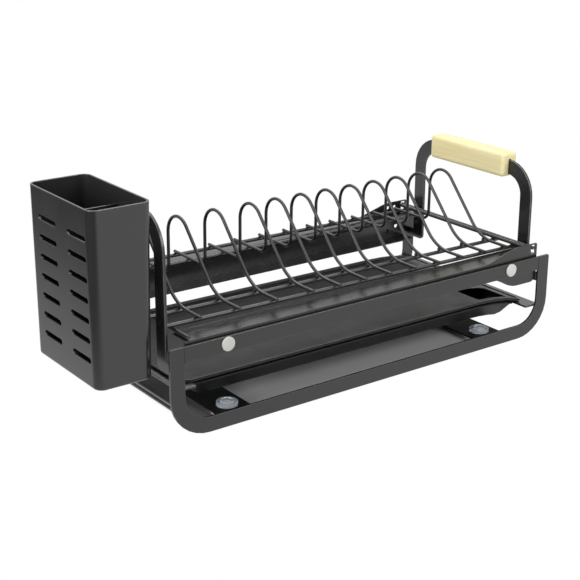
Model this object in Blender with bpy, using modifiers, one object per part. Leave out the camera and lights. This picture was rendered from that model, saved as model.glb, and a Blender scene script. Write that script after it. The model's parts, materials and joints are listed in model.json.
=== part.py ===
"""An expandable dish drainer: flat-bar side frames, telescoping rails, a wire plate rack and a drip drawer.

Lengths are named in millimetres and turned into metres where an object is made.
X runs along the drainer, from the cutlery holder to the handle that is pulled out, Y from front to back.
Until the last step every position is counted from the front frame's lower left corner.
"""
from math import atan2, cos, pi, radians, sin

import bmesh
import bpy
from mathutils import Matrix, Vector

MM = 0.001
GAP = 0.3  # between pieces that touch
WELD = 0.001  # points nearer than this are one point
SLIVER = 0.01  # keeps the round ends of a slot from meeting
DECIMALS = 4  # places are rounded, so that faces meant to share a plane do
CUT_OVERRUN = 10.0

# Side frames, cut from flat bar
FRAME_LENGTH = 473.0
FRAME_HEIGHT = 88.4
FRAME_DEPTH = 222.0  # outer face to outer face
BAR_WIDTH = 15.0
BAR_THICKNESS = 2.5
FRAME_CORNER = 40.0
SMALL_ROUND = 1.5
CORNER_STEPS = 8

# Cross bars under the drawer, whose low end curves down to the right one
RUNNER_WIDTH = 18.0
RUNNER_THICKNESS = 2.5
RUNNER_INSET = 10.0
RUNNER_LEFT_TOP = 48.2
RUNNER_RIGHT_TOP = 34.0
END_ROD_DIAMETER = 3.0
END_ROD_X = 34.0
END_ROD_LIFT = 1.2

# Foot bars and suction feet, from the frame's ends and from its faces
FOOT_BAR_WIDTH = 38.0
FOOT_BAR_THICKNESS = 2.0
FOOT_BAR_BOTTOM = 4.0
FOOT_LEFT_INSET = 78.0
FOOT_RIGHT_INSET = 69.5
FOOT_X = {"left": FOOT_LEFT_INSET, "right": FRAME_LENGTH - FOOT_RIGHT_INSET}
FOOT_INSET = 30.0
CUP_RADIUS = 16.0
STEM_RADIUS = 4.0
FOOT_HEAD_RADIUS = 10.5
FOOT_HEAD_HEIGHT = 5.5
HEAD_SHARES = (  # the stepped head: shares of its radius and of its height
    (0.0, 1.15), (0.42, 1.15), (0.48, 0.85), (0.72, 0.85), (0.78, 0.56), (0.95, 0.53), (1.0, 0.42))
CUP_SHARES = (  # the cup, outside and then inside: shares of its radius and of its height
    (0.55, 1.0), (1.0, 0.27), (1.0, 0.0), (0.9, 0.0), (0.4, 0.49), (0.0, 0.6))

# Caps that hold the rails to the frames
CAP_LEFT_INSET = 60.5
CAP_RIGHT_INSET = 57.0
CAP_X = {"left": CAP_LEFT_INSET, "right": FRAME_LENGTH - CAP_RIGHT_INSET}
CAP_DROP = 7.1
CAP_Z = FRAME_HEIGHT - CAP_DROP
CAP_RADIUS = 6.8
CAP_THICKNESS = 1.6
CAP_EDGE = 0.7
SHANK_RADIUS = 3.0
SHORT_SHANK = 3.6
LONG_SHANK = 9.0

# Rails that pull out of tracks riveted to the frames
SHEET = 1.0
TRACK_PLAY = 1.0
TRACK_START = BAR_WIDTH + TRACK_PLAY
TRACK_LEDGE = 7.0
RAIL_INSET = 2.0
RAIL_START = TRACK_START + RAIL_INSET
RAIL_END = FRAME_LENGTH - BAR_WIDTH
RAIL_SHEET = 1.2
RAIL_RISE = 3.1
RAIL_TOP = FRAME_HEIGHT + RAIL_RISE
FRONT_RAIL_HEIGHT = 15.9
REAR_RAIL_HEIGHT = 31.5
RAIL_BOTTOM = {"front": RAIL_TOP - FRONT_RAIL_HEIGHT, "rear": RAIL_TOP - REAR_RAIL_HEIGHT}
LEDGE_INSET = 2.0
RAIL_TOP_LEDGE = 24.0
RAIL_BOTTOM_LEDGE = 22.0
RAIL_LIP = 1.5  # the ledge's inner edge, turned up
LIP_INSET = 12.0
TRAVEL = 100.0  # how far the rails pull out

# The rails' domed ears, their sizes counted back from the rail's end
EAR_LENGTH = 74.0
EAR_TOP_LENGTH = 32.0
EAR_LOW_LENGTH = 64.0
EAR_LOW_FLAT = 36.0
EAR_RISE = 11.5
EAR_ROUND = 60.0
EAR_TOP_ROUND = 48.0
EAR_NECK_ROUND = 36.0
EAR_TIP_ROUND = 2.0
EAR_LOW_ROUND = 8.0
REAR_LOW_ROUND = 6.0
EAR_START = RAIL_END - EAR_LENGTH
EAR_TOP = RAIL_TOP + EAR_RISE
EAR_BOTTOM = RAIL_BOTTOM["rear"]
EAR_SLOT_WIDTH = 6.0
EAR_SLOT_HEIGHT = 10.0
EAR_SLOT_ROUND = 1.0
EAR_SLOT_INSET = 6.0
EAR_SLOT_X = RAIL_END - EAR_SLOT_INSET
LOW_HOLE_RADIUS = 3.2
LOW_HOLE_INSET = 30.0
LOW_HOLE_RISE = 8.0
END_HOLE_RADIUS = 2.6
END_HOLE_INSET = 16.0
END_HOLE_RISE = 13.0
PAIR_HOLE_RADIUS = 2.0
PAIR_HOLE_INSET = 19.0
PAIR_HOLE_PITCH = 10.0
PAIR_HOLE_DROP = 6.0
FRONT_TRACK_PLAY = 9.0
REAR_TRACK_PLAY = 18.0
TRACK_END = {"front": EAR_START - FRONT_TRACK_PLAY, "rear": RAIL_END - REAR_TRACK_PLAY}

# Handles, bent from the same flat bar
HANDLE_BAR = 16.0
HANDLE_THICKNESS = 3.0
HANDLE_ROUND = 36.0
HANDLE_FOOT = EAR_BOTTOM
HANDLE_FOOT_ROUND = 5.0
HANDLE_TAB = 10.0
LEFT_HANDLE_X = 8.0
LEFT_HANDLE_TOP = 205.0
RIGHT_HANDLE_TOP = 184.0
HANDLE_SIDE = 18.0  # from the frame's outer face to the leg's outer edge
GRIP_LENGTH = 116.0
GRIP_WIDTH = 22.0
GRIP_HEIGHT = 26.0
GRIP_ROUND = 4.0
GRIP_RISE = 2.2

# Plate rack wires: hoops on four long wires, between the rails
LONG_WIRE = 4.0
HOOP_WIRE = 3.3
END_WIRE_INSET = 5.0
END_WIRE_X = RAIL_START + END_WIRE_INSET
STOP_WIRE_PITCH = 5.0
STOP_WIRE_X = EAR_SLOT_X - STOP_WIRE_PITCH
WIRE_LEFT_OVERHANG = 10.0
WIRE_RIGHT_OVERHANG = 3.0
WIRE_START = END_WIRE_X - WIRE_LEFT_OVERHANG
WIRE_END = EAR_SLOT_X + WIRE_RIGHT_OVERHANG
FIRST_HOOP_PITCH = 23.8
LAST_HOOP_PITCH = 14.6
HOOP_START = END_WIRE_X + FIRST_HOOP_PITCH
HOOP_END = STOP_WIRE_X - LAST_HOOP_PITCH
WIDE_PITCH = 42.4
WIDE_HOOP_COUNT = 3
NARROW_HOOP_COUNT = 8
HOOP_FRONT = 23.0
HOOP_REAR_INSET = 13.0
HOOP_BACK = FRAME_DEPTH - HOOP_REAR_INSET
HOOP_TOE = 42.0
HOOP_HEEL = 59.5
HOOP_TURN = HOOP_FRONT + HOOP_TOE
HOOP_LEG = HOOP_BACK - HOOP_HEEL
HOOP_SLOPE = radians(48.0)
PEAK_ROUND = 19.5
FRONT_ROUND = 45.0
LEG_ROUND = 11.0
TOE_WIRE_INSET = 8.0
TURN_WIRE_INSET = 37.0
LEG_WIRE_INSET = 27.0
HEEL_WIRE_INSET = 2.0
LONG_WIRE_Y = (
    HOOP_FRONT + TOE_WIRE_INSET, HOOP_FRONT + TURN_WIRE_INSET,
    HOOP_BACK - LEG_WIRE_INSET, HOOP_BACK - HEEL_WIRE_INSET)

# Drip drawer: a shallow top that rests on both runners, over a water pan between them
TRAY_LEFT_REST = 12.0
TRAY_RIGHT_REST = 7.5
TRAY_START = RUNNER_INSET + RUNNER_WIDTH - TRAY_LEFT_REST
TRAY_END = FRAME_LENGTH - RUNNER_INSET - RUNNER_WIDTH + TRAY_RIGHT_REST
TRAY_FRONT = 11.0
TRAY_BACK_PLAY = 31.0
TRAY_BACK = FRAME_DEPTH - TRAY_BACK_PLAY
TRAY_THICKNESS = 1.2
TRAY_RIM_HEIGHT = 1.4
TRAY_RIM_WIDTH = 3.0
TRAY_CORNER = 14.0
DRAWER_FALL = radians(0.3)
BEND_LENGTH = 82.5
BEND_START = TRAY_END - BEND_LENGTH
BEND_STEPS = 6
DRAIN_LENGTH = 43.0
DRAIN_WIDTH = 36.0
DRAIN_ROUND = 4.0
DRAIN_INSET = 9.0
DRAIN_END_INSET = 18.5
DRAIN_START = TRAY_END - DRAIN_END_INSET - DRAIN_LENGTH
DRAIN_FRONT = TRAY_FRONT + DRAIN_INSET
PAN_LEFT_PLAY = 2.0
PAN_RIGHT_PLAY = 3.5
PAN_START = RUNNER_INSET + RUNNER_WIDTH + PAN_LEFT_PLAY
PAN_END = FRAME_LENGTH - RUNNER_INSET - RUNNER_WIDTH - PAN_RIGHT_PLAY
PAN_SIDE_INSET = 2.0
PAN_FRONT = TRAY_FRONT + PAN_SIDE_INSET
PAN_BACK = TRAY_BACK - PAN_SIDE_INSET
PAN_DEPTH = 21.0
PAN_NECK = 3.6  # the recess between the tray and the pan's flange
PAN_NECK_INSET = 4.5
PAN_HULL_INSET = 1.5
PAN_TAPER = 10.0
PAN_BEVEL = 3.5
PAN_CORNER = 11.0
PAN_WALL = 1.2

# Cutlery holder, hung over the left handle by its hooks
HOLDER_WIDTH = 60.0
HOLDER_LENGTH = 118.5
HOLDER_FRONT = 16.5
HOLDER_BACK = HOLDER_FRONT + HOLDER_LENGTH
HOLDER_INNER_X = -2.0
HOLDER_RISE = 15.0
HOLDER_TOP = LEFT_HANDLE_TOP + HOLDER_RISE
HOLDER_HEIGHT = 161.5
HOLDER_TAPER = 4.0
HOLDER_WALL = 2.2
HOLDER_ROUND = 9.0
HOLDER_BOTTOM_ROUND = 3.0
SLOT_ROWS = 7
SLOT_LENGTH = 33.0
SLOT_HEIGHT = 5.0
SLOT_PITCH = 18.2
SLOT_DROP = 26.5
SLOT_TOP = HOLDER_TOP - SLOT_DROP
SLOT_FRONT_INSET = 27.0
SLOT_BACK_INSET = 37.0
SLOT_Y = (HOLDER_FRONT + SLOT_FRONT_INSET, HOLDER_BACK - SLOT_BACK_INSET)
DIVIDER_DROP = 15.0
HOLDER_DRAIN_LENGTH = 30.0
HOLDER_DRAIN_WIDTH = 5.0
HOOK_FRONT_INSET = 51.5
HOOK_REAR_INSET = 19.0
HOOK_Y = {"front": HOLDER_FRONT + HOOK_FRONT_INSET, "rear": HOLDER_BACK - HOOK_REAR_INSET}
HOOK_WIDTH = 16.0
HOOK_SHEET = 2.6
HOOK_GUSSET = 6.0

# Colours as the Principled shader takes them: linear red, green and blue
MATERIALS = {
    "coated_steel": ((0.075, 0.074, 0.070), 0.38, 0.25),
    "black_plastic": ((0.012, 0.013, 0.015), 0.45, 0.0),
    "clear_rubber": ((0.55, 0.60, 0.66), 0.18, 0.0),
    "white_cap": ((0.80, 0.80, 0.76), 0.35, 0.0),
    "pale_wood": ((0.86, 0.78, 0.50), 0.55, 0.0),
    "grey_plastic": ((0.095, 0.095, 0.094), 0.42, 0.0),
}

part_collection = None
cutter_collection = None
materials = {}


def clear_scene():
    for item in list(bpy.data.objects):
        bpy.data.objects.remove(item, do_unlink=True)


def new_collection(name):
    collection = bpy.data.collections.new(name)
    bpy.context.scene.collection.children.link(collection)
    return collection


def make_materials():
    for name, (colour, roughness, metallic) in MATERIALS.items():
        material = bpy.data.materials.new(name)
        material.use_nodes = True
        shader = material.node_tree.nodes["Principled BSDF"]
        shader.inputs["Base Color"].default_value = (*colour, 1.0)
        shader.inputs["Roughness"].default_value = roughness
        shader.inputs["Metallic"].default_value = metallic
        material.diffuse_color = (*colour, 1.0)
        materials[name] = material


def add_empty(name, parent=None, location=(0.0, 0.0, 0.0)):
    empty = bpy.data.objects.new(name, None)
    empty.location = Vector(location) * MM
    empty.parent = parent
    part_collection.objects.link(empty)
    return empty


def add_part(name, mesh, body, location, material):
    """Makes one piece from a mesh whose vertices are in metres about the given location in millimetres."""
    part = bpy.data.objects.new(name, mesh)
    part.parent = body
    part.location = Vector(location) * MM - body.location
    if not mesh.materials:
        mesh.materials.append(materials[material])
    part_collection.objects.link(part)
    return part


def rounded(corners):
    """Turns corners given as (x, y, radius) into points, each round as an arc."""
    points = []
    count = len(corners)
    for index, (x, y, radius) in enumerate(corners):
        corner = Vector((x, y))
        before = (Vector(corners[index - 1][:2]) - corner).normalized()
        after = (Vector(corners[(index + 1) % count][:2]) - corner).normalized()
        points += arc_at(corner, before, after, radius)
    return points


def rounded_path(corners):
    """Like rounded, for an open line whose two ends stay as they are."""
    points = [Vector(corners[0][:2])]
    for index in range(1, len(corners) - 1):
        corner = Vector(corners[index][:2])
        before = (Vector(corners[index - 1][:2]) - corner).normalized()
        after = (Vector(corners[index + 1][:2]) - corner).normalized()
        points += arc_at(corner, before, after, corners[index][2])
    points.append(Vector(corners[-1][:2]))
    return points


def arc_at(corner, before, after, radius):
    if radius <= 0:
        return [corner]
    half = before.angle(after) / 2
    centre = corner + (before + after).normalized() * (radius / sin(half))
    start = corner + before * (radius * cos(half) / sin(half)) - centre
    end = corner + after * (radius * cos(half) / sin(half)) - centre
    turn = start.angle_signed(end)
    steps = max(2, round(abs(turn) / (pi / 2) * CORNER_STEPS))
    if radius <= 2 * SMALL_ROUND:
        steps = 2
    first = atan2(start.y, start.x)
    points = []
    for step in range(steps + 1):
        angle = first - turn * step / steps
        points.append(centre + Vector((cos(angle), sin(angle))) * radius)
    return points


def rounded_box(left, low, right, high, radius):
    return rounded([(left, low, radius), (right, low, radius), (right, high, radius), (left, high, radius)])


def circle(x, y, radius, steps=20):
    turns = [2 * pi * step / steps for step in range(steps)]
    return [Vector((x + radius * cos(turn), y + radius * sin(turn))) for turn in turns]


def slot(start, end, bottom, top):
    radius = (top - bottom) / 2 - SLIVER
    return rounded_box(start, bottom, end, top, radius)


def mesh_from_curve(curve, name):
    """Evaluates a curve, welds its caps and returns a plain mesh."""
    holder = bpy.data.objects.new(name + "_curve", curve)
    cutter_collection.objects.link(holder)
    bpy.context.view_layer.update()
    evaluated = holder.evaluated_get(bpy.context.evaluated_depsgraph_get())
    mesh = bpy.data.meshes.new_from_object(evaluated)
    mesh.name = name
    work = bmesh.new()
    work.from_mesh(mesh)
    bmesh.ops.remove_doubles(work, verts=work.verts, dist=WELD * MM)
    bmesh.ops.recalc_face_normals(work, faces=work.faces)
    work.to_mesh(mesh)
    work.free()
    bpy.data.objects.remove(holder, do_unlink=True)
    bpy.data.curves.remove(curve)
    mesh.materials.clear()
    return mesh


def flat_mesh(name, loops, thickness, plane):
    """A flat piece of sheet or bar with holes, upright along X or Y ("XZ", "YZ") or lying flat ("XY")."""
    curve = bpy.data.curves.new(name, "CURVE")
    curve.dimensions = "2D"
    curve.fill_mode = "BOTH"
    curve.extrude = thickness / 2 * MM
    for loop in loops:
        spline = curve.splines.new("POLY")
        spline.points.add(len(loop) - 1)
        spline.use_cyclic_u = True
        for point, place in zip(spline.points, loop):
            point.co = (round(place[0], DECIMALS) * MM, round(place[1], DECIMALS) * MM, 0.0, 1.0)
    mesh = mesh_from_curve(curve, name)
    if plane == "XZ":
        mesh.transform(Matrix.Rotation(pi / 2, 4, "X"))
    elif plane == "YZ":
        mesh.transform(Matrix.Rotation(pi / 2, 4, "Z") @ Matrix.Rotation(pi / 2, 4, "X"))
    return mesh


def wire_mesh(name, points, diameter, resolution=2):
    curve = bpy.data.curves.new(name, "CURVE")
    curve.dimensions = "3D"
    curve.bevel_depth = diameter / 2 * MM
    curve.bevel_resolution = resolution
    curve.use_fill_caps = True
    spline = curve.splines.new("POLY")
    spline.points.add(len(points) - 1)
    for point, place in zip(spline.points, points):
        point.co = (*(Vector(place) * MM), 1.0)
    mesh = mesh_from_curve(curve, name)
    mesh.shade_smooth()
    mesh.set_sharp_from_angle(angle=radians(40))
    return mesh


def box_mesh(name, size, round_radius=0.0, segments=2):
    work = bmesh.new()
    bmesh.ops.create_cube(work, size=1.0)
    bmesh.ops.scale(work, vec=Vector(size) * MM, verts=work.verts)
    if round_radius > 0:
        bmesh.ops.bevel(
            work, geom=work.edges[:], offset=round_radius * MM,
            segments=segments, profile=0.5, affect="EDGES")
    mesh = bpy.data.meshes.new(name)
    work.to_mesh(mesh)
    work.free()
    return mesh


def block_mesh(name, low, high):
    """A box between two corners of the local frame, so that it lines up exactly with sheet made there."""
    work = bmesh.new()
    bmesh.ops.create_cube(work, size=1.0)
    for corner in work.verts:
        ends = [high[axis] if corner.co[axis] > 0 else low[axis] for axis in range(3)]
        corner.co = [round(place, DECIMALS) * MM for place in ends]
    mesh = bpy.data.meshes.new(name)
    work.to_mesh(mesh)
    work.free()
    return mesh


def turned_mesh(name, profile, steps=20):
    """Spins a profile of (radius, height) points round Z, down the outer side and back up the axis."""
    work = bmesh.new()
    corners = [work.verts.new((radius * MM, 0.0, height * MM)) for radius, height in profile]
    edges = [work.edges.new(pair) for pair in zip(corners, corners[1:])]
    bmesh.ops.spin(
        work, geom=corners + edges, cent=(0, 0, 0), axis=(0, 0, 1),
        angle=2 * pi, steps=steps, use_merge=True)
    bmesh.ops.remove_doubles(work, verts=work.verts, dist=WELD * MM)
    bmesh.ops.recalc_face_normals(work, faces=work.faces)
    mesh = bpy.data.meshes.new(name)
    work.to_mesh(mesh)
    work.free()
    mesh.shade_smooth()
    mesh.set_sharp_from_angle(angle=radians(35))
    return mesh


def helper(name, mesh, body, location):
    """A cutter or an addition for a Boolean, kept out of sight."""
    item = bpy.data.objects.new(name, mesh)
    item.parent = body
    item.location = Vector(location) * MM - body.location
    item.hide_render = True
    item.display_type = "WIRE"
    cutter_collection.objects.link(item)
    return item


def combine(part, other, operation):
    change = part.modifiers.new(operation.lower() + "_" + other.name, "BOOLEAN")
    change.operation = operation
    change.object = other
    change.solver = "EXACT"


def mirrored_y(side, distance):
    """A distance counted inwards from the front or the rear frame's outer face."""
    return distance if side == "front" else FRAME_DEPTH - distance


def side_frame(side, base):
    inner_round = FRAME_CORNER - BAR_WIDTH
    outer = rounded([
        (0, 0, FRAME_CORNER), (FRAME_LENGTH, 0, FRAME_CORNER),
        (FRAME_LENGTH, FRAME_HEIGHT, SMALL_ROUND), (0, FRAME_HEIGHT, SMALL_ROUND)])
    right = FRAME_LENGTH - BAR_WIDTH
    top = FRAME_HEIGHT - BAR_WIDTH
    window = rounded([
        (BAR_WIDTH, BAR_WIDTH, inner_round), (right, BAR_WIDTH, inner_round),
        (right, top, SMALL_ROUND), (BAR_WIDTH, top, SMALL_ROUND)])
    holes = [circle(CAP_X[end], CAP_Z, SHANK_RADIUS + GAP) for end in ("left", "right")]
    mesh = flat_mesh("side_frame_" + side, [outer, window] + holes, BAR_THICKNESS, "XZ")
    add_part("side_frame_" + side, mesh, base, (0, mirrored_y(side, BAR_THICKNESS / 2), 0), "coated_steel")


def runner(end, base):
    """A flat bar from frame to frame, on which one end of the drawer slides."""
    length = FRAME_DEPTH - 2 * (BAR_THICKNESS + GAP)
    inset = RUNNER_INSET + RUNNER_WIDTH / 2
    x = inset if end == "left" else FRAME_LENGTH - inset
    top = RUNNER_LEFT_TOP if end == "left" else RUNNER_RIGHT_TOP
    mesh = box_mesh("runner_" + end, (RUNNER_WIDTH, length, RUNNER_THICKNESS))
    add_part("runner_" + end, mesh, base, (x, FRAME_DEPTH / 2, top - RUNNER_THICKNESS / 2), "coated_steel")


def bottom_rod(base):
    end = FRAME_DEPTH / 2 - BAR_THICKNESS - GAP
    mesh = wire_mesh("bottom_rod", [(0, -end, 0), (0, end, 0)], END_ROD_DIAMETER)
    place = (END_ROD_X, FRAME_DEPTH / 2, END_ROD_DIAMETER / 2 + END_ROD_LIFT)
    add_part("bottom_rod", mesh, base, place, "coated_steel")


def foot_bar(end, base):
    half = FOOT_BAR_WIDTH / 2
    front = BAR_THICKNESS + GAP
    back = FRAME_DEPTH - front
    outline = rounded_box(-half, front, half, back, SMALL_ROUND)
    holes = [circle(0, mirrored_y(side, FOOT_INSET), STEM_RADIUS + GAP) for side in ("front", "rear")]
    mesh = flat_mesh("foot_bar_" + end, [outline] + holes, FOOT_BAR_THICKNESS, "XY")
    place = (FOOT_X[end], 0, FOOT_BAR_BOTTOM + FOOT_BAR_THICKNESS / 2)
    add_part("foot_bar_" + end, mesh, base, place, "black_plastic")


def suction_feet(base):
    """A cup under the foot bar, its stem through the bar and a stepped head on top."""
    head_bottom = FOOT_BAR_BOTTOM + FOOT_BAR_THICKNESS + GAP
    cup_top = FOOT_BAR_BOTTOM - GAP
    profile = [(FOOT_HEAD_RADIUS * out, head_bottom + FOOT_HEAD_HEIGHT * up) for out, up in HEAD_SHARES]
    profile += [(FOOT_HEAD_RADIUS, head_bottom), (STEM_RADIUS, head_bottom), (STEM_RADIUS, cup_top)]
    profile += [(CUP_RADIUS * out, cup_top * up) for out, up in CUP_SHARES]
    mesh = turned_mesh("suction_foot", profile)
    for side in ("front", "rear"):
        for end in ("left", "right"):
            place = (FOOT_X[end], mirrored_y(side, FOOT_INSET), 0)
            add_part("suction_foot_" + side + "_" + end, mesh, base, place, "clear_rubber")


def caps(base):
    """Round caps on the frames: the left pair rivets the tracks, the right pair also stops the rails."""
    top = GAP + CAP_THICKNESS
    for end, shank in (("left", SHORT_SHANK), ("right", LONG_SHANK)):
        profile = [
            (0, top), (CAP_RADIUS - CAP_EDGE, top), (CAP_RADIUS, top - CAP_EDGE),
            (CAP_RADIUS, GAP), (SHANK_RADIUS, GAP), (SHANK_RADIUS, -shank), (0, -shank)]
        mesh = turned_mesh("cap_" + end, profile)
        for side in ("front", "rear"):
            place = (CAP_X[end], mirrored_y(side, 0), CAP_Z)
            part = add_part("cap_" + side + "_" + end, mesh, base, place, "white_cap")
            part.rotation_euler = (pi / 2 if side == "front" else -pi / 2, 0, 0)


def angle_sheet(name, side, loops, sheet, face, ledges, body):
    """A web upright behind a frame, with ledges turned inwards, each a (bottom, width, start, end)."""
    mesh = flat_mesh(name, loops, sheet, "XZ")
    place = (0, mirrored_y(side, face + sheet / 2), 0)
    part = add_part(name, mesh, body, place, "coated_steel")
    inward = 1 if side == "front" else -1
    for index, (bottom, width, ledge_start, ledge_end) in enumerate(ledges):
        across = sorted((0, inward * (width - sheet / 2)))
        low = (ledge_start, across[0], bottom)
        high = (ledge_end, across[1], bottom + sheet)
        ledge_mesh = block_mesh(name + "_ledge", low, high)
        combine(part, helper(name + "_ledge_" + str(index), ledge_mesh, body, place), "UNION")
    return part


def track(side, base):
    """The fixed half of a telescoping pair: a web on the frame and a ledge below, on which the rail runs."""
    bottom = RAIL_BOTTOM[side] - GAP - SHEET
    top = FRAME_HEIGHT - SHEET
    end = TRACK_END[side]
    web = rounded([
        (TRACK_START, bottom, 0), (end, bottom, 0),
        (end, top, SMALL_ROUND), (TRACK_START, top, SMALL_ROUND)])
    ends = ("left", "right") if side == "rear" else ("left",)
    holes = [circle(CAP_X[place], CAP_Z, SHANK_RADIUS + GAP) for place in ends]
    face = BAR_THICKNESS + GAP
    mesh = flat_mesh("track_" + side, [web] + holes, SHEET, "XZ")
    add_part("track_" + side, mesh, base, (0, mirrored_y(side, face + SHEET / 2), 0), "coated_steel")
    width = TRACK_LEDGE - SHEET - GAP
    ledge = box_mesh("track_ledge_" + side, (end - TRACK_START, width, SHEET))
    across = mirrored_y(side, face + TRACK_LEDGE - width / 2)
    place = ((TRACK_START + end) / 2, across, bottom + SHEET / 2)
    add_part("track_ledge_" + side, ledge, base, place, "coated_steel")


def rail_outline(side):
    """The sliding web with its domed ear at the pulled end."""
    bottom = RAIL_BOTTOM[side]
    corners = [(RAIL_START, bottom, SMALL_ROUND)]
    if side == "front":
        corners += [
            (RAIL_END - EAR_LOW_LENGTH, bottom, EAR_ROUND),
            (RAIL_END - EAR_LOW_FLAT, EAR_BOTTOM, EAR_NECK_ROUND), (RAIL_END, EAR_BOTTOM, EAR_LOW_ROUND)]
    else:
        corners += [(RAIL_END, bottom, REAR_LOW_ROUND)]
    corners += [
        (RAIL_END, EAR_TOP, EAR_TIP_ROUND), (RAIL_END - EAR_TOP_LENGTH, EAR_TOP, EAR_TOP_ROUND),
        (EAR_START, RAIL_TOP, EAR_NECK_ROUND), (RAIL_START, RAIL_TOP, SMALL_ROUND)]
    return rounded(corners)


def rear_rail_holes():
    """Two rivet holes in the deep web and a pair under the ear's top edge."""
    low = RAIL_BOTTOM["rear"]
    pair_x = RAIL_END - PAIR_HOLE_INSET
    pair_z = EAR_TOP - PAIR_HOLE_DROP
    return [
        circle(RAIL_END - LOW_HOLE_INSET, low + LOW_HOLE_RISE, LOW_HOLE_RADIUS),
        circle(RAIL_END - END_HOLE_INSET, low + END_HOLE_RISE, END_HOLE_RADIUS),
        circle(pair_x, pair_z, PAIR_HOLE_RADIUS),
        circle(pair_x - PAIR_HOLE_PITCH, pair_z, PAIR_HOLE_RADIUS)]


def slide_rail(side, extension):
    """The moving half: a web with a stop slot and an ear, and ledges that carry the plate rack."""
    name = "slide_rail_" + side
    stop = slot(
        CAP_X["right"] - TRAVEL - SHANK_RADIUS - GAP, CAP_X["right"] + SHANK_RADIUS + GAP,
        CAP_Z - SHANK_RADIUS - GAP, CAP_Z + SHANK_RADIUS + GAP)
    half = EAR_SLOT_WIDTH / 2
    slot_top = RAIL_TOP + EAR_SLOT_HEIGHT
    wire_slot = rounded_box(EAR_SLOT_X - half, RAIL_TOP, EAR_SLOT_X + half, slot_top, EAR_SLOT_ROUND)
    loops = [rail_outline(side), stop, wire_slot]
    face = BAR_THICKNESS + 2 * GAP + SHEET
    start = RAIL_START + LEDGE_INSET
    ledges = [(RAIL_TOP - RAIL_SHEET, RAIL_TOP_LEDGE, start, RAIL_END - LEDGE_INSET)]
    if side == "rear":
        loops += rear_rail_holes()
        ledges.append((RAIL_BOTTOM[side], RAIL_BOTTOM_LEDGE, start, RAIL_END - 3 * LEDGE_INSET))
    rail = angle_sheet(name, side, loops, RAIL_SHEET, face, ledges, extension)
    inward = 1 if side == "front" else -1
    edge = RAIL_TOP_LEDGE - RAIL_SHEET / 2
    across = sorted((inward * (edge - RAIL_SHEET), inward * edge))
    lip = block_mesh(
        name + "_lip", (RAIL_START + LIP_INSET, across[0], RAIL_TOP - RAIL_SHEET / 2),
        (RAIL_END - 2 * LEDGE_INSET, across[1], RAIL_TOP + RAIL_LIP))
    place = (0, mirrored_y(side, face + RAIL_SHEET / 2), 0)
    combine(rail, helper(name + "_lip", lip, extension, place), "UNION")


def handle(end, top, x, reach, body):
    """Flat bar bent edgewise to an arch, with a tab at each foot that is welded to what carries it."""
    low = HANDLE_FOOT
    inner = HANDLE_SIDE + HANDLE_BAR
    back = FRAME_DEPTH - HANDLE_SIDE
    inner_back = FRAME_DEPTH - inner
    far = FRAME_DEPTH - reach
    inner_round = HANDLE_ROUND - HANDLE_BAR
    outline = rounded([
        (reach, low, 0), (inner, low, HANDLE_FOOT_ROUND), (inner, top - HANDLE_BAR, inner_round),
        (inner_back, top - HANDLE_BAR, inner_round), (inner_back, low, HANDLE_FOOT_ROUND), (far, low, 0),
        (far, low + HANDLE_TAB, 0), (back, low + HANDLE_TAB, 0), (back, top, HANDLE_ROUND),
        (HANDLE_SIDE, top, HANDLE_ROUND), (HANDLE_SIDE, low + HANDLE_TAB, 0), (reach, low + HANDLE_TAB, 0)])
    mesh = flat_mesh("handle_" + end, [outline], HANDLE_THICKNESS, "YZ")
    add_part("handle_" + end, mesh, body, (x, 0, 0), "coated_steel")


def grip(x, top, body):
    """A wooden block with a channel for the flat bar."""
    centre = top - HANDLE_BAR / 2 + GRIP_RISE
    mesh = box_mesh("grip", (GRIP_WIDTH, GRIP_LENGTH, GRIP_HEIGHT), GRIP_ROUND, 3)
    place = (x, FRAME_DEPTH / 2, centre)
    block = add_part("grip", mesh, body, place, "pale_wood")
    room = (HANDLE_THICKNESS + 2 * GAP, GRIP_LENGTH + 2 * CUT_OVERRUN, HANDLE_BAR + 2 * GAP)
    channel = box_mesh("grip_channel", room)
    cutter = helper("grip_channel", channel, body, (x, FRAME_DEPTH / 2, top - HANDLE_BAR / 2))
    combine(block, cutter, "DIFFERENCE")


def rack_fall():
    """The rack's slope: its left end rests on a wire of its own, its right end on the rails."""
    return atan2(LONG_WIRE + GAP, EAR_SLOT_X - END_WIRE_X)


def rack_place(x, y, lift):
    """A point of the sloping rack, its lift counted from the long wires' centre lines."""
    back = EAR_SLOT_X - x
    fall = rack_fall()
    level = RAIL_TOP + GAP + LONG_WIRE / 2
    return (x + lift * sin(fall), y, level + back * sin(fall) + lift * cos(fall))


def add_wire(name, mesh, extension, place):
    wire = add_part(name, mesh, extension, place, "coated_steel")
    wire.rotation_euler = (0, rack_fall(), 0)


def hoop_mesh():
    """One hoop in its own plane: a flat toe, a long slope, a narrow peak, an upright leg and a heel."""
    peak = (HOOP_LEG - HOOP_TURN) * sin(HOOP_SLOPE) / cos(HOOP_SLOPE)
    path = rounded_path([
        (HOOP_FRONT, 0), (HOOP_TURN, 0, FRONT_ROUND), (HOOP_LEG, peak, PEAK_ROUND),
        (HOOP_LEG, 0, LEG_ROUND), (HOOP_BACK, 0)])
    return wire_mesh("hoop", [(0, y, z) for y, z in path], HOOP_WIRE)


def hoop_places():
    """Three wide gaps at the holder's end, then narrow ones up to the stop wire."""
    places = [HOOP_START]
    narrow_pitch = (HOOP_END - HOOP_START - WIDE_HOOP_COUNT * WIDE_PITCH) / NARROW_HOOP_COUNT
    for pitch, count in ((WIDE_PITCH, WIDE_HOOP_COUNT), (narrow_pitch, NARROW_HOOP_COUNT)):
        for _ in range(count):
            places.append(places[-1] + pitch)
    return places


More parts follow.
